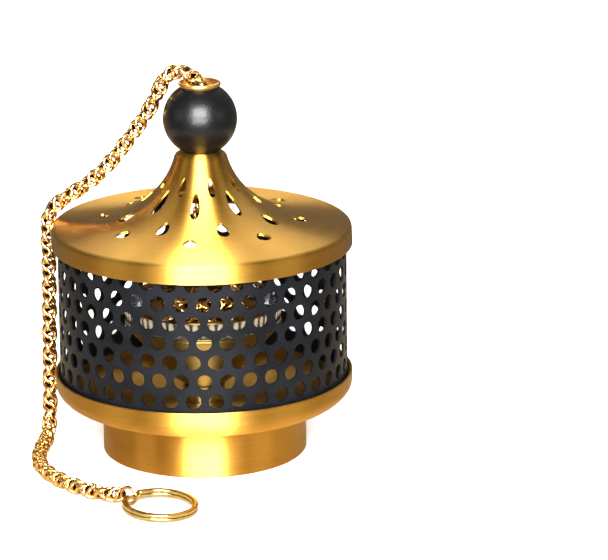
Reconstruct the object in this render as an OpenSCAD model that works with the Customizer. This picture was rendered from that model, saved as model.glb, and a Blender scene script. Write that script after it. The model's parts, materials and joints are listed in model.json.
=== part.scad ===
// Thurible (hanging censer) with a pierced lid, a perforated fire basket and a single rope chain.
// Origin: centre of the foot's lower edge, +Z up. Millimetres.

/* [Foot and pan] */
// Outer radius of the foot
foot_r = 43; // [36:0.5:46]
// Height of the foot
foot_h = 20; // [18:0.5:21]
// Outer radius of the pan
pan_r = 62.7; // [62.5:0.1:63]
// Height of the pan's rim above the floor
pan_rim_z = 34.6; // [33:0.1:36]
// Height at which the pan's wall turns upright
pan_turn_z = 30; // [28:0.1:31]

/* [Basket] */
// Outer radius of the perforated wall
basket_r = 60.6; // [60.2:0.1:61]
// Diameter of one hole
hole_d = 6.35; // [4:0.05:7]
// Holes in each row
holes_per_row = 40; // [20:1:40]
// Rows of holes
hole_rows = 7; // [3:1:7]
// Distance between rows
row_step = 8.25; // [7.5:0.05:8.3]
// Height of the lowest row
first_row_z = 39; // [38:0.5:40]

/* [Bowl] */
// Height of the bowl's underside
bowl_z = 27; // [25:0.5:28]
// Radius of the bowl's round bottom
bowl_nose_r = 20; // [18:0.5:22]
// Angle of the bowl's straight side
bowl_slope = 50; // [45:1:55]
// Height of the brass bowl's rim
bowl_rim_z = 55.3; // [50:0.1:56]
// Height of the liner's rim
liner_rim_z = 64.5; // [62:0.5:66]

/* [Lid] */
// Outer radius of the lid's skirt
skirt_r = 63.1; // [63:0.1:64]
// Height of the skirt's lower edge
skirt_z = 89.5; // [88:0.5:91]
// Radius of the ball
ball_r = 15.5; // [14:0.1:16]
// Height of the ball's centre
ball_z = 143.2; // [143:0.1:144]
// Outer radius of the eyelet's rolled lip
eyelet_r = 8.9; // [8.5:0.1:9.5]
// Vents in each ring
vents_per_ring = 8; // [4:1:10]

/* [Chain and ring] */
// Diameter of the rope chain
chain_d = 6.4; // [5:0.1:6.6]
// Outer radius of the finger ring
ring_r = 15.5; // [14:0.5:18]
// Inner radius of the finger ring
ring_bore_r = 13.2; // [11:0.1:13.5]

/* [Hidden] */
$fn = 128;

sheet = 1;
chain_r = chain_d / 2;

// Where the basket's wall starts and ends, and the angle of its first hole from the front
basket_bottom_z = 27.2;
basket_top_z = 96.6;
hole_phase = -2.8;

// Bolt up the middle that clamps liner, bowl, pedestal and pan together
bolt_r = 2.5;
bolt_hole_r = 2.8;
nut_h = 4;
washer_h = 1;
seat_r = 5;
eye_r = 5;
eye_wire_r = 1.25;
eye_z = 40.5;
link_wire_r = 0.7;

// Bowl and liner, both a round nose that runs into a straight cone
liner_t = 0.8;
bowl_nose_z = bowl_z + bowl_nose_r;
liner_gap = 0.2;
liner_inner_r = bowl_nose_r - sheet - liner_gap - liner_t;
seat_z = bowl_nose_z - sqrt(pow(liner_inner_r, 2) - pow(seat_r, 2)) + 0.1;

// Lid outline: skirt, nearly flat edge, concave spire, neck that closes under the ball
lid_corner_z = 97.9;
corner_r = 2;
dome_r = 43;
dome_z = 100.3;
dome_pull = [33.6, 101.3];
neck_r = 11.4;
neck_z = 125.9;
neck_pull = [16.8, 108.4];
mouth_r = 7.4;
mouth_z = 129.4;

// Vents in rings: distance from the axis, height, slope, length and width
ring_a = [15.5, 117.1, 57, 8.5, 2.9];
ring_b = [21, 110.6, 44, 13, 3.9];
ring_c = [32.2, 103.3, 22, 8.8, 5];
ring_d = [41, 100.6, 7, 7, 5.6];
vent_phase = -5.5;

// Tube through ball and neck, widened above flare_z to seat its lip on the ball
tube_r = 6.9;
tube_bore_r = 5.9;
tube_end_z = 121;
tube_play = 0.05;
flare_z = 152.4;
flare_slope = 0.225;
lip_z = 156.7;
lip_h = 2.2;
clamp_z = 126.9;
clamp_r = 8.2;

// Chain coil resting in the liner: radius and height of each turn's centre line
turn_r = [13.2, 15.6, 17.4, 15.6, 13.2];
turn_z = [40.4, 47.0, 53.6, 60.2, 66.8];

// Route of the chain from the coil up the axis of the lid
riser_route = [
    [13.2, 0, 66.8], [12.5, 5, 67.6], [9.9, 9.4, 70], [6.2, 11.6, 74], [2.6, 10.8, 79.2],
    [0.2, 8, 85], [-0.8, 4.8, 91.5], [-0.7, 2.2, 98.5], [-0.2, 0.6, 106], [0.3, 0, 114],
    [0.8, -0.2, 124], [1.2, -0.3, 136], [1.3, -0.3, 149.7]
];

// Route of the chain out of the eyelet, over the lid's edge, down and along the floor
outer_route = [
    [1.3, -0.3, 150], [1.2, -0.3, 153.5], [-0.1, 0, 157.6], [-3.6, 0.9, 161.1], [-7.4, 1.8, 162.6],
    [-11.1, 2.7, 162], [-14.2, 3.5, 159.7], [-16.1, 4, 156.4], [-17.7, 4.4, 152.8], [-21.4, 5.3, 145.6],
    [-27.1, 6.8, 136.9], [-34.4, 8.6, 126.8], [-41.8, 10.4, 118.2], [-48.8, 12.2, 111.8],
    [-55.4, 13.8, 107.2], [-60.6, 15.1, 103.2], [-63.8, 15.8, 99.6], [-65.2, 16.1, 95.2],
    [-65.5, 16.1, 90], [-65.4, 15.8, 76], [-65.6, 15, 60], [-65.8, 14, 44], [-66, 13, 30],
    [-66.2, 12.2, 18], [-66.4, 10, 10.4], [-66.8, 5.8, 5.4], [-67.4, 0, 3.3], [-68.6, -9.6, 3.25],
    [-69.2, -20, 3.25], [-68.4, -30.4, 3.25], [-65.4, -40.6, 3.25], [-60.4, -50, 3.25],
    [-53.8, -58.4, 3.25], [-46.6, -65.4, 3.25], [-39.8, -70.2, 3.3], [-33.4, -73.5, 3.9]
];

// Finger ring: two flat turns, the near end raised on the link
ring_x = -16.5;
ring_y = -82.5;
ring_heading = -28;
ring_turn_h = 1.45;
ring_turn_gap = 0.1;
ring_h = 2 * ring_turn_h + ring_turn_gap;
ring_mid_r = (ring_r + ring_bore_r) / 2;
ring_low_z = 1.65;
ring_high_z = 3.4;
ring_tilt = asin((ring_high_z - ring_low_z) / (2 * ring_mid_r));
link_r = 3.5;

function bezier(a, b, c, d, t) =
    pow(1 - t, 3) * a + 3 * pow(1 - t, 2) * t * b + 3 * (1 - t) * t * t * c + t * t * t * d;

function arc(cx, cy, r, a0, a1, steps) =
    [for (i = [0 : steps]) [cx + r * cos(a0 + (a1 - a0) * i / steps),
                            cy + r * sin(a0 + (a1 - a0) * i / steps)]];

function unit(v) = v / norm(v);

// Sideways normal of an open outline at point i
function side(line, i) =
    let (a = line[max(i - 1, 0)], b = line[min(i + 1, len(line) - 1)], d = unit(b - a))
    [-d[1], d[0]];

// Closed outline of a sheet of thickness t, whose outer face follows the line
function sheet_outline(line, t) =
    concat(line, [for (i = [len(line) - 1 : -1 : 0]) line[i] + t * side(line, i)]);

// Outer face of the bowl, moved inward by inset, from the axis hole up to the height top_z
function bowl_line(inset, top_z) =
    let (r = bowl_nose_r - inset,
         start = asin(bolt_hole_r / r),
         foot = [r * sin(bowl_slope), bowl_nose_z - r * cos(bowl_slope)])
    concat(arc(0, bowl_nose_z, r, start - 90, bowl_slope - 90, 8),
           [[foot[0] + (top_z - foot[1]) / tan(bowl_slope), top_z]]);

// One cross-section of a swept tube, turned to face along the route
function tube_ring(route, i, r, sides) =
    let (last = len(route) - 1,
         d = unit(route[min(i + 1, last)] - route[max(i - 1, 0)]),
         s = unit(cross(d, [0.8, 0.5, 0])),
         u = cross(s, d))
    [for (k = [0 : sides - 1]) route[i] + r * (cos(360 * k / sides) * s + sin(360 * k / sides) * u)];

module tube(route, r, sides) {
    rings = len(route);
    points = [for (i = [0 : rings - 1]) each tube_ring(route, i, r, sides)];
    walls = [for (i = [0 : rings - 2]) for (k = [0 : sides - 1])
        let (a = i * sides + k, b = i * sides + (k + 1) % sides)
        each [[a, a + sides, b], [b, a + sides, b + sides]]];
    start = [[for (k = [0 : sides - 1]) k]];
    end = [[for (k = [sides - 1 : -1 : 0]) (rings - 1) * sides + k]];
    polyhedron(points, concat(walls, start, end), convexity = 10);
}

module washer(outer_r, inner_r, h) {
    difference() {
        cylinder(r = outer_r, h = h);
        translate([0, 0, -1])
            cylinder(r = inner_r, h = h + 2);
    }
}

module hex_nut(across_flats, bore_r, h) {
    difference() {
        cylinder(r = across_flats / sqrt(3), h = h, $fn = 6);
        translate([0, 0, -1])
            cylinder(r = bore_r, h = h + 2);
    }
}

module wire_ring(r, wire_r) {
    rotate_extrude()
        translate([r, 0])
            circle(r = wire_r, $fn = 32);
}

// Plain cylinder with an inward flange that is soldered to the pan
module foot_ring() {
    flange_w = 6;
    edge = 0.5;
    color("goldenrod")
        rotate_extrude()
            polygon([[foot_r - edge, 0], [foot_r, edge], [foot_r, foot_h],
                     [foot_r - flange_w, foot_h], [foot_r - flange_w, foot_h - sheet],
                     [foot_r - 1.2, foot_h - sheet], [foot_r - 1.2, 0]]);
}

// Outer face of the pan: flat floor, rounded underside, upright wall
function pan_line() =
    concat([[bolt_hole_r, foot_h]],
           [for (i = [0 : 12])
               [foot_r + (pan_r - foot_r) * sin(i * 7.5),
                pan_turn_z - (pan_turn_z - foot_h) * cos(i * 7.5)]],
           [[pan_r, pan_rim_z - 0.4], [pan_r - 0.3, pan_rim_z]]);

module base_pan() {
    color("goldenrod")
        rotate_extrude()
            polygon(sheet_outline(pan_line(), sheet));
}

// Rolled black sheet with staggered rows of round holes
module basket() {
    pitch = 360 / holes_per_row;
    punch_h = 6;
    color("dimgray")
        difference() {
            translate([0, 0, basket_bottom_z])
                washer(basket_r, basket_r - sheet, basket_top_z - basket_bottom_z);
            for (row = [0 : hole_rows - 1])
                for (k = [0 : holes_per_row - 1])
                    rotate([0, 0, hole_phase - 90 + pitch * (k + (row % 2) / 2)])
                        translate([basket_r - punch_h / 2, 0, first_row_z + row * row_step])
                            rotate([0, 90, 0])
                                cylinder(d = hole_d, h = punch_h, $fn = 32);
        }
}

// Waisted spacer between pan and bowl
module pedestal() {
    floor_z = foot_h + sheet;
    plate_h = 1.2;
    plate_r = 12;
    waist_r = 8.8;
    fillet_r = plate_r - waist_r;
    color("darkgoldenrod")
        rotate_extrude()
            polygon(concat([[bolt_hole_r, floor_z], [plate_r, floor_z], [plate_r, floor_z + plate_h]],
                           arc(plate_r, floor_z + plate_h + fillet_r, fillet_r, 270, 180, 6),
                           [[waist_r, bowl_z + 1], [bolt_hole_r, bowl_z - 0.1]]));
}

module brass_bowl() {
    color("gold")
        rotate_extrude()
            polygon(sheet_outline(bowl_line(0, bowl_rim_z), sheet));
}

// Bright liner that stands above the bowl and ends in a rolled rim
module steel_liner() {
    band_z = bowl_rim_z + 0.4;
    inset = sheet + liner_gap;
    cone = bowl_line(inset, band_z);
    band_r = cone[len(cone) - 1][0] + 0.9;
    color("lightgray")
        rotate_extrude()
            polygon(sheet_outline(concat(cone, [[band_r, band_z + 1], [band_r + 0.6, liner_rim_z - 1],
                                                [band_r + 1.4, liner_rim_z]]), liner_t));
}

// Bolt with a round eye on top and a shoulder that bears on the seat washer
module eye_bolt() {
    end_z = foot_h - nut_h - washer_h - 1.5;
    shoulder_r = 4;
    shoulder_h = 1.5;
    color("silver") {
        translate([0, 0, end_z])
            cylinder(r = bolt_r, h = eye_z - eye_r - end_z);
        translate([0, 0, seat_z + washer_h])
            cylinder(r = shoulder_r, h = shoulder_h);
        translate([0, 0, eye_z])
            rotate([90, 0, 0])
                wire_ring(eye_r, eye_wire_r);
    }
}

module seat_washer() {
    color("silver")
        translate([0, 0, seat_z])
            washer(seat_r, bolt_hole_r, washer_h);
}

module bolt_washer() {
    color("silver")
        translate([0, 0, foot_h - washer_h])
            washer(6.5, bolt_hole_r, washer_h);
}

module bolt_nut() {
    color("silver")
        translate([0, 0, foot_h - washer_h - nut_h])
            hex_nut(8, bolt_r, nut_h);
}

// Oval link from the bolt's eye to the first chain link
module base_link() {
    half = 0.9;
    side_r = 2.2;
    middle_x = 5.9;
    color("goldenrod")
        translate([middle_x, 0, eye_z])
            union() {
                for (end = [0, 180])
                    rotate([0, 0, end])
                        translate([half, 0, 0])
                            rotate([0, 0, -90])
                                rotate_extrude(angle = 180)
                                    translate([side_r, 0])
                                        circle(r = link_wire_r, $fn = 32);
                for (y = [-side_r, side_r])
                    translate([-half, y, 0])
                        rotate([0, 90, 0])
                            cylinder(r = link_wire_r, h = 2 * half, $fn = 32);
            }
}

// Outer shape of the coiled chain: one closed ring built of its turns
module chain_coil() {
    last = len(turn_r) - 1;
    color("gold")
        rotate_extrude()
            polygon(concat(
                [for (i = [0 : last]) each arc(turn_r[i], turn_z[i], chain_r, -60, 60, 4)],
                [for (i = [last : -1 : 0]) each arc(turn_r[i], turn_z[i], chain_r, 120, 240, 4)]));
}

module chain_riser() {
    color("gold")
        tube(riser_route, chain_r, 10);
}

// Outer face of the lid, from the skirt's lower edge to the neck's mouth
function lid_line() =
    concat([[skirt_r, skirt_z], [skirt_r - 0.2, lid_corner_z - corner_r]],
           arc(skirt_r - 0.2 - corner_r, lid_corner_z - corner_r, corner_r, 0, 81, 4),
           [for (i = [0 : 20]) bezier([dome_r, dome_z], dome_pull, neck_pull, [neck_r, neck_z], i / 20)],
           [[neck_r - 0.3, neck_z + 1.2], [neck_r - 1, neck_z + 2.3], [neck_r - 2, neck_z + 3],
            [neck_r - 3, mouth_z - 0.1], [mouth_r, mouth_z]]);

// Vent with its narrow end toward the axis, cut square to the lid's face
module vent(ring) {
    length = ring[3];
    width = ring[4];
    taper = 0.3;
    steps = 24;
    translate([ring[0], 0, ring[1]])
        rotate([0, ring[2], 0])
            linear_extrude(height = 8, center = true)
                polygon([for (i = [0 : steps - 1])
                    let (a = 360 / steps * i)
                    [length / 2 * cos(a), width / 2 * sin(a) * (1 + taper * cos(a))]]);
}

module vent_ring(ring, phase) {
    for (k = [0 : vents_per_ring - 1])
        rotate([0, 0, phase - 90 + 360 / vents_per_ring * k])
            vent(ring);
}

module lid_shell() {
    half_pitch = 180 / vents_per_ring;
    color("goldenrod")
        difference() {
            rotate_extrude()
                polygon(sheet_outline(lid_line(), sheet));
            vent_ring(ring_a, vent_phase + half_pitch);
            vent_ring(ring_b, vent_phase);
            vent_ring(ring_c, vent_phase + half_pitch);
            vent_ring(ring_d, vent_phase);
        }
}

// Ball threaded on the tube, countersunk for the eyelet's flare
module ball_knob() {
    bore_r = tube_r + tube_play;
    sink_h = 10;
    color("black")
        difference() {
            translate([0, 0, ball_z])
                sphere(r = ball_r);
            translate([0, 0, ball_z - 2 * ball_r])
                cylinder(r = bore_r, h = 4 * ball_r);
            translate([0, 0, flare_z])
                cylinder(r1 = bore_r, r2 = bore_r + flare_slope * sink_h, h = sink_h);
        }
}

// Tube with a flared mouth and a thin rolled lip that the chain runs over
module eyelet() {
    flare_r = tube_r + flare_slope * (lip_z - flare_z);
    lip_top_z = lip_z + lip_h;
    color("gold")
        rotate_extrude()
            polygon([[tube_bore_r, tube_end_z], [tube_r, tube_end_z], [tube_r, flare_z], [flare_r, lip_z],
                     [eyelet_r - 0.5, lip_z + 0.3], [eyelet_r - 0.1, lip_z + 0.8],
                     [eyelet_r, lip_top_z - 0.8], [eyelet_r - 0.2, lip_top_z - 0.3],
                     [eyelet_r - 0.7, lip_top_z], [eyelet_r - 1.2, lip_top_z - 0.1],
                     [eyelet_r - 1.6, lip_top_z - 0.6], [eyelet_r - 2.1, lip_z],
                     [tube_bore_r + 0.4, lip_z - 2], [tube_bore_r, flare_z]]);
}

module clamp_washer() {
    color("goldenrod")
        translate([0, 0, clamp_z])
            washer(clamp_r, tube_r + tube_play, washer_h);
}

module tube_nut() {
    tube_nut_h = 4.5;
    color("goldenrod")
        translate([0, 0, clamp_z - tube_nut_h])
            hex_nut(16.5, tube_r, tube_nut_h);
}

module chain_outer() {
    color("gold")
        tube(outer_route, chain_r, 10);
}

// Moves a piece to where the chain meets the finger ring, +X toward the ring's centre
module at_ring() {
    translate([ring_x, ring_y, 0])
        rotate([0, 0, ring_heading])
            children();
}

module end_link() {
    color("gold")
        at_ring()
            translate([-ring_mid_r - 0.4, 0, link_r + link_wire_r + 0.05])
                rotate([90, 0, 0])
                    wire_ring(link_r, link_wire_r);
}

module split_ring() {
    color("khaki")
        at_ring()
            translate([0, 0, (ring_high_z + ring_low_z) / 2])
                rotate([0, ring_tilt, 0])
                    translate([0, 0, -ring_h / 2])
                        union() {
                            for (z = [0, ring_turn_h + ring_turn_gap])
                                translate([0, 0, z])
                                    washer(ring_r, ring_bore_r, ring_turn_h);
                            rotate([0, 0, 40])
                                translate([ring_bore_r + 0.4, -3, 1])
                                    cube([1.5, 6, 1]);
                        }
}

foot_ring();
base_pan();
basket();
pedestal();
brass_bowl();
steel_liner();
eye_bolt();
seat_washer();
bolt_washer();
bolt_nut();
base_link();
chain_coil();
chain_riser();
lid_shell();
ball_knob();
eyelet();
clamp_washer();
tube_nut();
chain_outer();
end_link();
split_ring();
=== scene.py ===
"""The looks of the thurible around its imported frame.

The script makes the rope chain's links, the split finger ring, the materials, the light
and the camera.
"""

import json
import math

import bpy
import numpy as np
from mathutils import Matrix, Vector


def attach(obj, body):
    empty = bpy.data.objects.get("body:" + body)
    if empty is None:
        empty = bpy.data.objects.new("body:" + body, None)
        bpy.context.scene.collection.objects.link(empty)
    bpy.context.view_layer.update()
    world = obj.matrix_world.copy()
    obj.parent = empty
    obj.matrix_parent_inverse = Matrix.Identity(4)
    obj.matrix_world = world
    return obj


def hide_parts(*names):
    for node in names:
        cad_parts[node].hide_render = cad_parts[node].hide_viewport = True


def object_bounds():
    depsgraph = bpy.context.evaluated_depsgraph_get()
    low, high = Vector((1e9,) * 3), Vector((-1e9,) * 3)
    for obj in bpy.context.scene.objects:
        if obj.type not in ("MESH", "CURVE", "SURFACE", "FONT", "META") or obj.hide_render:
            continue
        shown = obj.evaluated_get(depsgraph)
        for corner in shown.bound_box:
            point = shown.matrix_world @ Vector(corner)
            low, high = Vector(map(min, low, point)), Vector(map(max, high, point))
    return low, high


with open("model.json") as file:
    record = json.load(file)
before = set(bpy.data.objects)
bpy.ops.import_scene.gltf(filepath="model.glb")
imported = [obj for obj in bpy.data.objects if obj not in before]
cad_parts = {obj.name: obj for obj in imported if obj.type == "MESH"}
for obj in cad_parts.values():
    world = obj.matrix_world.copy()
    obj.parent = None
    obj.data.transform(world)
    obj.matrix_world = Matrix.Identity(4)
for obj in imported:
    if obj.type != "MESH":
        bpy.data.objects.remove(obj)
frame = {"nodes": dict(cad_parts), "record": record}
cad_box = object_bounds()
nodes = frame["nodes"]

MM = 0.001

# The chain's routes in millimetres, as in the part's source
CHAIN_DIAMETER = 6.4 * MM
RISER_ROUTE = [
    (13.2, 0, 66.8), (12.5, 5, 67.6), (9.9, 9.4, 70), (6.2, 11.6, 74), (2.6, 10.8, 79.2),
    (0.2, 8, 85), (-0.8, 4.8, 91.5), (-0.7, 2.2, 98.5), (-0.2, 0.6, 106), (0.3, 0, 114),
    (0.8, -0.2, 124), (1.2, -0.3, 136), (1.3, -0.3, 149.7),
]
OUTER_ROUTE = [
    (1.3, -0.3, 150), (1.2, -0.3, 153.5), (-0.1, 0, 157.6), (-3.6, 0.9, 161.1),
    (-7.4, 1.8, 162.6), (-11.1, 2.7, 162), (-14.2, 3.5, 159.7), (-16.1, 4, 156.4),
    (-17.7, 4.4, 152.8), (-21.4, 5.3, 145.6), (-27.1, 6.8, 136.9), (-34.4, 8.6, 126.8),
    (-41.8, 10.4, 118.2), (-48.8, 12.2, 111.8), (-55.4, 13.8, 107.2), (-60.6, 15.1, 103.2),
    (-63.8, 15.8, 99.6), (-65.2, 16.1, 95.2), (-65.5, 16.1, 90), (-65.4, 15.8, 76),
    (-65.6, 15, 60), (-65.8, 14, 44), (-66, 13, 30), (-66.2, 12.2, 18), (-66.4, 10, 10.4),
    (-66.8, 5.8, 5.4), (-67.4, 0, 3.3), (-68.6, -9.6, 3.25), (-69.2, -20, 3.25),
    (-68.4, -30.4, 3.25), (-65.4, -40.6, 3.25), (-60.4, -50, 3.25), (-53.8, -58.4, 3.25),
    (-46.6, -65.4, 3.25), (-39.8, -70.2, 3.3), (-33.4, -73.5, 3.9),
]
COIL_TURN_RADII = (13.2, 15.6, 17.4, 15.6, 13.2)
COIL_TURN_HEIGHTS = (40.4, 47.0, 53.6, 60.2, 66.8)
POINTS_PER_SPAN = 6
POINTS_PER_COIL_TURN = 40

# The chain's links; even links lean one way and odd links the other
LINK_PITCH = 1.4 * MM
LINK_TURN = math.radians(25.2)
LINK_LEANS = (math.radians(123), math.radians(57))
LINK_WIRE_RADIUS = 0.74 * MM
LINK_OUTER_RADIUS = 1.05 * CHAIN_DIAMETER / 2
LINK_STRETCH = 1.15

# The split ring; its wire climbs one level over RING_RISE_DEGREES from RING_RISE_START
RING_BORE_RADIUS = 13.2 * MM
RING_OUTER_RADIUS = 15.5 * MM
RING_WIRE_HEIGHT = 1.45 * MM
RING_AIR = 0.1 * MM
RING_CORNER = 0.4 * MM
RING_WIRE_DEGREES = np.arange(20, 701, 4)
RING_RISE_START = 347
RING_RISE_DEGREES = 26
RING_ENDS_TURN = 150


# Camera

def make_camera():
    """The view of a catalogue photograph: a long lens, looking down a little from the front."""
    pitch_down, roll = 16.42, -0.5
    camera = bpy.data.objects.new("camera", bpy.data.cameras.new("camera"))
    bpy.context.scene.collection.objects.link(camera)
    camera.data.sensor_width = 36
    camera.data.lens = 236.84
    camera.data.clip_start, camera.data.clip_end = 0.05, 50
    camera.matrix_world = (
        Matrix.Translation((0.0426, -1.6121, 0.5478))
        @ Matrix.Rotation(math.radians(90 - pitch_down), 4, "X")
        @ Matrix.Rotation(math.radians(roll), 4, "Z")
    )
    bpy.context.scene.camera = camera


make_camera()


# Curves and meshes

def smooth_line(points, per_span):
    """A Catmull-Rom curve through the points, with per_span points to each span."""
    p = np.array(points, float)
    p = np.vstack([2 * p[0] - p[1], p, 2 * p[-1] - p[-2]])
    out = []
    for i in range(1, len(p) - 2):
        for t in np.linspace(0, 1, per_span, endpoint=False):
            a = 2 * p[i]
            b = p[i + 1] - p[i - 1]
            c = 2 * p[i - 1] - 5 * p[i] + 4 * p[i + 1] - p[i + 2]
            d = -p[i - 1] + 3 * p[i] - 3 * p[i + 1] + p[i + 2]
            out.append((a + b * t + c * t * t + d * t ** 3) / 2)
    out.append(p[-2])
    return np.array(out)


def span_lengths(line):
    return np.linalg.norm(np.diff(line, axis=0), axis=1)


def even_steps(line, step):
    """Points, directions and sides at even steps along a line; the sides don't twist round it."""
    lengths = np.concatenate([[0], np.cumsum(span_lengths(line))])
    count = int(round(lengths[-1] / step)) + 1
    at = np.linspace(0, lengths[-1], count)
    points = np.stack([np.interp(at, lengths, line[:, k]) for k in range(3)], 1)
    ways = np.gradient(points, axis=0)
    ways /= np.linalg.norm(ways, axis=1)[:, None]
    off_the_line = (0.3, 0.9, 0.2)
    side = np.cross(ways[0], off_the_line)
    sides = []
    for way in ways:
        side = side - way * (side @ way)
        side = side / np.linalg.norm(side)
        sides.append(side)
    return points, ways, np.array(sides)


def mesh_piece(name, vertices, faces):
    """A smooth-shaded object made from vertices and faces."""
    mesh = bpy.data.meshes.new(name)
    mesh.from_pydata([tuple(v) for v in vertices], [], [tuple(int(i) for i in f) for f in faces])
    mesh.validate()
    mesh.polygons.foreach_set("use_smooth", [True] * len(mesh.polygons))
    piece = bpy.data.objects.new(name, mesh)
    bpy.context.scene.collection.objects.link(piece)
    return piece


def grid_faces(rows, columns, close_rows=True):
    """Quads over rows of vertices, each row a closed loop of columns.

    close_rows also joins the last row to the first.
    """
    faces = []
    for i in range(rows if close_rows else rows - 1):
        row, next_row = i * columns, ((i + 1) % rows) * columns
        for k in range(columns):
            next_k = (k + 1) % columns
            faces.append((row + k, next_row + k, next_row + next_k, row + next_k))
    return np.array(faces)


# Chain

def link_shape(around, across):
    """Vertices of one round wire link, flat in its own plane."""
    u = np.linspace(0, 2 * math.pi, around, endpoint=False)
    v = np.linspace(0, 2 * math.pi, across, endpoint=False)
    uu, vv = np.meshgrid(u, v, indexing="ij")
    ring = LINK_OUTER_RADIUS - LINK_WIRE_RADIUS + LINK_WIRE_RADIUS * np.cos(vv)
    shape = np.stack([ring * np.cos(uu), ring * np.sin(uu), LINK_WIRE_RADIUS * np.sin(vv)], -1)
    return shape.reshape(-1, 3)


def rope_chain(name, line, around, across):
    """Round links along a line, leaning alternately and each turned a step past the last.

    The attribute depth holds each vertex's distance from the line: 0 at it, 1 at the rope's
    outside. It is the mask for painted shade: the rope's material darkens the links towards the
    line.
    """
    points, ways, sides = even_steps(line, LINK_PITCH)
    shape = link_shape(around, across)
    faces = grid_faces(around, across)
    vertices, all_faces, painted_shade_depth = [], [], []
    for i, (point, way, side) in enumerate(zip(points, ways, sides)):
        other = np.cross(way, side)
        angle = i * LINK_TURN
        lean = LINK_LEANS[i % 2]
        across_axis = math.cos(angle) * side + math.sin(angle) * other
        lift_axis = np.cross(way, across_axis)
        lean_axis = math.cos(lean) * lift_axis + math.sin(lean) * way
        normal = np.cross(across_axis, lean_axis)
        placed = shape @ np.array([across_axis, lean_axis * LINK_STRETCH, normal])
        vertices.append(placed + point)
        # Painted shade mask: the nearer the line, the darker the rope's material paints the link.
        from_axis = placed - np.outer(placed @ way, way)
        painted_shade_depth.append(np.linalg.norm(from_axis, axis=1) / (CHAIN_DIAMETER / 2))
        all_faces.append(faces + i * len(shape))
    piece = mesh_piece(name, np.concatenate(vertices), np.concatenate(all_faces))
    attribute = piece.data.attributes.new("painted_shade_depth", "FLOAT", "POINT")
    attribute.data.foreach_set("value", np.concatenate(painted_shade_depth).astype(np.float32))
    return piece


def coil_line():
    """The heap in the liner: one turn after another, each at its own radius and height."""
    turns = len(COIL_TURN_RADII)
    at = np.linspace(0, turns - 1, POINTS_PER_COIL_TURN * turns)
    steps = np.arange(turns)
    radius = np.interp(at, steps, COIL_TURN_RADII) * MM
    height = np.interp(at, steps, COIL_TURN_HEIGHTS) * MM
    angle = 2 * math.pi * (at - (turns - 1))
    return np.stack([radius * np.cos(angle), radius * np.sin(angle), height], 1)


outer_line = smooth_line(np.array(OUTER_ROUTE) * MM, POINTS_PER_SPAN)
riser_line = smooth_line(np.array(RISER_ROUTE) * MM, POINTS_PER_SPAN)
inner_line = np.vstack([coil_line()[:-1], riser_line])

# The outer links stop one point short, clear of the split ring
chain_outside = rope_chain("rope_chain_outside", outer_line[:-1], 28, 12)
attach(chain_outside, "chain")
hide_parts("chain_outer")

chain_inside = rope_chain("rope_chain_inside", inner_line, 20, 8)
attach(chain_inside, "root")
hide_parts("chain_coil", "chain_riser")


# Finger ring

def wire_outline():
    """The ring's wire in section, as (outwards, up) points: a rectangle with round corners."""
    half_w, half_h = (RING_OUTER_RADIUS - RING_BORE_RADIUS) / 2, RING_WIRE_HEIGHT / 2
    outline = []
    for sx, sz, start in ((1, 1, 0), (-1, 1, 90), (-1, -1, 180), (1, -1, 270)):
        for degrees in range(start, start + 91, 30):
            a = math.radians(degrees)
            outline.append((
                sx * (half_w - RING_CORNER) + RING_CORNER * math.cos(a),
                sz * (half_h - RING_CORNER) + RING_CORNER * math.sin(a),
            ))
    return outline


def split_ring():
    """Two turns of flat wire that step from one level to the other beside the ring's ends."""
    middle = (RING_BORE_RADIUS + RING_OUTER_RADIUS) / 2
    outline = wire_outline()
    turns = np.radians(RING_WIRE_DEGREES)
    vertices = []
    for t in turns:
        step = min(max((math.degrees(t) - RING_RISE_START) / RING_RISE_DEGREES, 0), 1)
        level = (step * step * (3 - 2 * step) - 0.5) * (RING_WIRE_HEIGHT + RING_AIR)
        for w, h in outline:
            vertices.append(((middle + w) * math.cos(t), (middle + w) * math.sin(t), level + h))
    count = len(outline)
    faces = [tuple(f) for f in grid_faces(len(turns), count, close_rows=False)]
    faces.append(tuple(range(count)))
    faces.append(tuple(range(len(vertices) - 1, len(vertices) - count - 1, -1)))
    mount = next(m for m in frame["record"]["mounts"] if m["name"] == "hang_ring")
    stand = Vector((0, 0, 1)).rotation_difference(Vector(mount["axis"]))
    place = (
        Matrix.Translation(mount["pos_m"])
        @ stand.to_matrix().to_4x4()
        @ Matrix.Rotation(math.radians(RING_ENDS_TURN), 4, "Z")
    )
    placed = [place @ Vector(v) for v in vertices]
    piece = mesh_piece("split_ring_wire", placed, faces)
    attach(piece, "finger_ring")
    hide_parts("split_ring")
    return piece


finger_ring = split_ring()


# Materials

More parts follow.
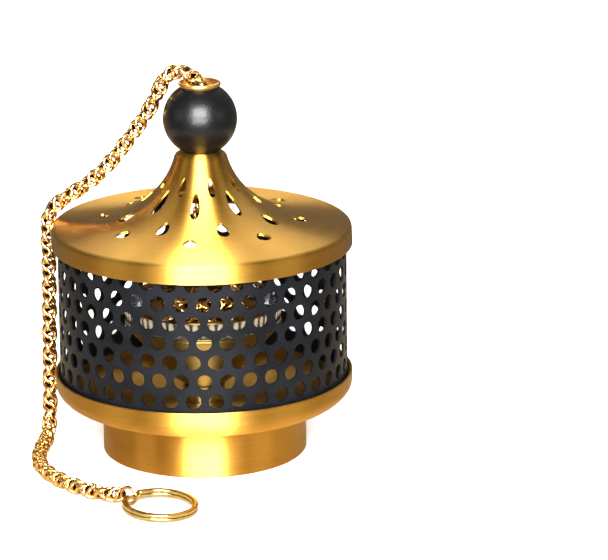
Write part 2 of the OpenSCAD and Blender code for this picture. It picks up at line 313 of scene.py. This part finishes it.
class Nodes:
    """A short way to build a node material."""

    def __init__(self, name):
        self.material = bpy.data.materials.new(name)
        self.material.use_nodes = True
        self.tree = self.material.node_tree
        self.shader = self.tree.nodes["Principled BSDF"]

    def add(self, kind, settings=None, **inputs):
        node = self.tree.nodes.new("ShaderNode" + kind)
        for key, value in (settings or {}).items():
            setattr(node, key, value)
        for key, value in inputs.items():
            self.set(node, key.replace("_", " "), value)
        return node

    def set(self, node, socket, value):
        if isinstance(value, bpy.types.NodeSocket):
            self.tree.links.new(value, node.inputs[socket])
        else:
            node.inputs[socket].default_value = value

    def math(self, operation, a, b=0.0):
        node = self.add("Math", {"operation": operation})
        self.set(node, 0, a)
        self.set(node, 1, b)
        return node.outputs[0]

    def ramp(self, value, stops):
        """Colours along a value; the first two stops are the ramp's ends."""
        node = self.add("ValToRGB")
        self.set(node, 0, value)
        elements = node.color_ramp.elements
        for i, (at, color) in enumerate(stops):
            element = elements[i] if i < 2 else elements.new(at)
            element.position = at
            element.color = (*color, 1)
        return node.outputs[0]

    def spread(self, value, low, high):
        """Stretches the middle of a noise's range to run from low to high."""
        node = self.add("MapRange", From_Min=0.3, From_Max=0.7, To_Min=low, To_Max=high)
        self.set(node, "Value", value)
        return node.outputs[0]

    def place(self):
        return self.add("TexCoord").outputs["Object"]

    def noise(self, scale, detail, roughness=0.55):
        node = self.add(
            "TexNoise", Scale=scale, Detail=detail, Roughness=roughness, Vector=self.place(),
        )
        return node.outputs[0]

    def brushing(self, fine, along):
        """Fine lines round the Z axis; fine and along scale the noise across and along them."""
        x, y, z = self.add("SeparateXYZ", Vector=self.place()).outputs
        squares = self.math("ADD", self.math("MULTIPLY", x, x), self.math("MULTIPLY", y, y))
        radius = self.math("SQRT", squares)
        joined = self.add("CombineXYZ")
        for socket, (value, factor) in enumerate(((x, along), (y, along), (z, fine))):
            self.set(joined, socket, self.math("MULTIPLY", value, factor))
        node = self.add(
            "TexNoise", {"noise_dimensions": "4D"}, Scale=1.0, Detail=4.0, Roughness=0.6,
            Vector=joined.outputs[0], W=self.math("MULTIPLY", radius, fine),
        )
        return node.outputs[0]

    def bump(self, height, distance):
        return self.add("Bump", Height=height, Distance=distance, Strength=1.0).outputs[0]

    def finish(self, **inputs):
        for key, value in inputs.items():
            self.set(self.shader, key.replace("_", " "), value)
        return self.material


def spun_metal(name, light, dark, rough, brush_mm, anisotropy):
    """Metal turned on a lathe: fine lines round the axis, and faint tarnish.

    The anisotropy draws highlights out across the lines.
    """
    n = Nodes(name)
    lines = n.brushing(fine=2600, along=9)
    tarnish = n.noise(scale=22, detail=4)
    shade = n.math("ADD", n.math("MULTIPLY", lines, 0.45), n.math("MULTIPLY", tarnish, 0.55))
    tangent = n.add("Tangent", {"direction_type": "RADIAL", "axis": "Z"})
    return n.finish(
        Metallic=1.0,
        Base_Color=n.ramp(shade, [(0.38, dark), (0.62, light)]),
        Roughness=n.spread(lines, rough - 0.05, rough + 0.06),
        Anisotropic=anisotropy,
        Anisotropic_Rotation=0.25,
        Tangent=tangent.outputs[0],
        Normal=n.bump(lines, brush_mm * MM),
    )


def polished_gold(name, light, dark, rough, painted_gap_shade=None):
    """Bright plated wire with fine scratches and a few worn spots.

    A rope's links also take painted shade: they darken through dark to a shade colour towards the
    rope's line, deep between them.
    """
    n = Nodes(name)
    patches = n.noise(scale=260, detail=3)
    scratches = n.noise(scale=3200, detail=2)
    if painted_gap_shade:
        # Painted shade: the links run from light through dark to the gap colour towards the
        # rope's line, where they would shade each other; the worn patches add real wear.
        painted_shade_depth = n.add("Attribute", {"attribute_name": "painted_shade_depth"}).outputs["Fac"]
        worn = n.math("MULTIPLY", n.math("SUBTRACT", patches, 0.5), 0.35)
        shade = n.math("ADD", painted_shade_depth, worn)
        color = n.ramp(shade, [(0.46, painted_gap_shade), (0.86, light), (0.64, dark)])
    else:
        color = n.ramp(patches, [(0.4, dark), (0.6, light)])
    return n.finish(
        Metallic=1.0,
        Base_Color=color,
        Roughness=n.spread(scratches, rough - 0.03, rough + 0.07),
        Normal=n.bump(scratches, 0.01 * MM),
    )


def black_coat(name, color, rough, peel_scale, peel_mm, coat):
    """Satin black with the faint orange peel of a sprayed coat and dusty patches."""
    n = Nodes(name)
    peel = n.noise(peel_scale, detail=2, roughness=0.4)
    dust = n.noise(scale=60, detail=4)
    dusty = tuple(c * 1.8 + 0.0005 for c in color)
    return n.finish(
        Base_Color=n.ramp(dust, [(0.35, color), (0.75, dusty)]),
        Roughness=n.spread(dust, rough - 0.04, rough + 0.08),
        Specular_IOR_Level=0.085,
        Coat_Weight=coat,
        Coat_Roughness=0.28,
        Normal=n.bump(peel, peel_mm * MM),
    )


def plain_steel(name, color, rough):
    """Zinc-plated hardware with a dull mottled skin."""
    n = Nodes(name)
    mottle = n.noise(scale=700, detail=4)
    dull = tuple(c * 0.7 for c in color)
    return n.finish(
        Metallic=1.0,
        Base_Color=n.ramp(mottle, [(0.35, dull), (0.65, color)]),
        Roughness=n.spread(mottle, rough - 0.06, rough + 0.1),
        Normal=n.bump(n.noise(scale=2500, detail=2), 0.02 * MM),
    )


def matt_sheet(name, scale, low, high, rough):
    """A matt surface with a faint mottle, for the floor and the card."""
    n = Nodes(name)
    return n.finish(
        Base_Color=n.ramp(n.noise(scale, detail=2), [(0.3, low), (0.7, high)]),
        Roughness=rough,
    )


satin_brass = spun_metal(
    "satin_brass", light=(0.60, 0.345, 0.064), dark=(0.46, 0.24, 0.036),
    rough=0.45, brush_mm=0.004, anisotropy=1.0,
)
bowl_brass = spun_metal(
    "bowl_brass", light=(0.55, 0.40, 0.13), dark=(0.38, 0.26, 0.07),
    rough=0.36, brush_mm=0.004, anisotropy=0.95,
)
eyelet_brass = spun_metal(
    "eyelet_brass", light=(0.62, 0.38, 0.13), dark=(0.48, 0.27, 0.08),
    rough=0.34, brush_mm=0.003, anisotropy=0.4,
)
bright_steel = spun_metal(
    "bright_steel", light=(0.50, 0.51, 0.54), dark=(0.40, 0.41, 0.43),
    rough=0.12, brush_mm=0.002, anisotropy=0.3,
)
hardware_steel = plain_steel("hardware_steel", color=(0.62, 0.62, 0.60), rough=0.34)
# The rope's last colour is painted shade, deep between its links.
gold_rope = polished_gold(
    "gold_rope", light=(0.66, 0.42, 0.15), dark=(0.40, 0.21, 0.055), rough=0.18,
    painted_gap_shade=(0.05, 0.018, 0.004),
)
gold_link = polished_gold(
    "gold_link", light=(0.62, 0.38, 0.13), dark=(0.46, 0.25, 0.07), rough=0.16,
)
pale_gold = polished_gold(
    "pale_gold", light=(0.52, 0.43, 0.19), dark=(0.40, 0.31, 0.11), rough=0.16,
)
black_sheet = black_coat(
    "black_sheet", color=(0.0014, 0.0018, 0.0026), rough=0.42,
    peel_scale=1500, peel_mm=0.012, coat=0.0,
)
black_ball = black_coat(
    "black_ball", color=(0.0012, 0.0014, 0.0016), rough=0.34,
    peel_scale=1100, peel_mm=0.2, coat=0.3,
)

NODE_MATERIALS = {
    "foot_ring": satin_brass,
    "base_pan": satin_brass,
    "lid_shell": satin_brass,
    "clamp_washer": satin_brass,
    "tube_nut": satin_brass,
    "eyelet": eyelet_brass,
    "pedestal": bowl_brass,
    "brass_bowl": bowl_brass,
    "steel_liner": bright_steel,
    "eye_bolt": hardware_steel,
    "seat_washer": hardware_steel,
    "bolt_washer": hardware_steel,
    "bolt_nut": hardware_steel,
    "basket": black_sheet,
    "ball_knob": black_ball,
    "base_link": gold_link,
    "end_link": gold_link,
}


def wear(piece, material):
    """Gives a piece one material."""
    if not piece.material_slots:
        piece.data.materials.append(material)
    for slot in piece.material_slots:
        slot.material = material


for node_name, node_material in NODE_MATERIALS.items():
    wear(nodes[node_name], node_material)
wear(chain_outside, gold_rope)
wear(chain_inside, gold_rope)
wear(finger_ring, pale_gold)


# Floor, reflected card, world and lights

def make_floor():
    """A pale floor that metal doesn't mirror, and a warm card that is seen in mirrors only."""
    bpy.ops.mesh.primitive_plane_add(size=12, location=(0, 0, -0.0002))
    floor = bpy.context.object
    floor.name = "floor"
    wear(floor, matt_sheet("pale_floor", 2, (0.86, 0.86, 0.85), (0.88, 0.88, 0.88), 0.7))
    floor.visible_glossy = False

    bpy.ops.mesh.primitive_circle_add(
        vertices=64, radius=0.3, fill_type="NGON", location=(0, 0, -0.0001),
    )
    card = bpy.context.object
    card.name = "table_card"
    wear(card, matt_sheet("warm_card", 3, (0.40, 0.31, 0.19), (0.44, 0.34, 0.21), 0.8))
    for ray in ("camera", "diffuse", "transmission", "shadow"):
        setattr(card, "visible_" + ray, False)


def make_world(color, strength):
    world = bpy.data.worlds.new("studio")
    world.use_nodes = True
    background = world.node_tree.nodes["Background"]
    background.inputs[0].default_value = (*color, 1)
    background.inputs[1].default_value = strength
    bpy.context.scene.world = world


def make_light(name, place, target, width, height, power):
    light = bpy.data.lights.new(name, "AREA")
    light.shape, light.size, light.size_y = "RECTANGLE", width, height
    light.energy = power
    lamp = bpy.data.objects.new(name, light)
    bpy.context.scene.collection.objects.link(lamp)
    lamp.location = place
    lamp.rotation_mode = "QUATERNION"
    lamp.rotation_quaternion = (Vector(target) - Vector(place)).to_track_quat("-Z", "Y")


# Name, place, width and height in metres, power in watts
LIGHTS = (
    ("front_box", (0.03, -1.9, 1.2), 1.65, 1.2, 280),
    ("front_low", (0.0, -2.0, 0.25), 1.55, 0.34, 72),
    ("front_wide", (0.0, -2.2, 0.8), 3.6, 1.2, 26),
    ("back_box", (0.0, 1.3, 1.5), 1.6, 1.0, 28),
    ("left_panel", (-2.0, -0.8, 0.6), 1.0, 1.0, 4),
    ("right_panel", (2.0, -0.8, 0.6), 1.0, 1.0, 4),
)

make_floor()
make_world(color=(1, 0.88, 0.72), strength=0.26)
centre = (cad_box[0] + cad_box[1]) / 2
for light_name, light_place, light_width, light_height, light_power in LIGHTS:
    make_light(light_name, light_place, centre, light_width, light_height, light_power)
bpy.context.scene.view_settings.view_transform = "Standard"
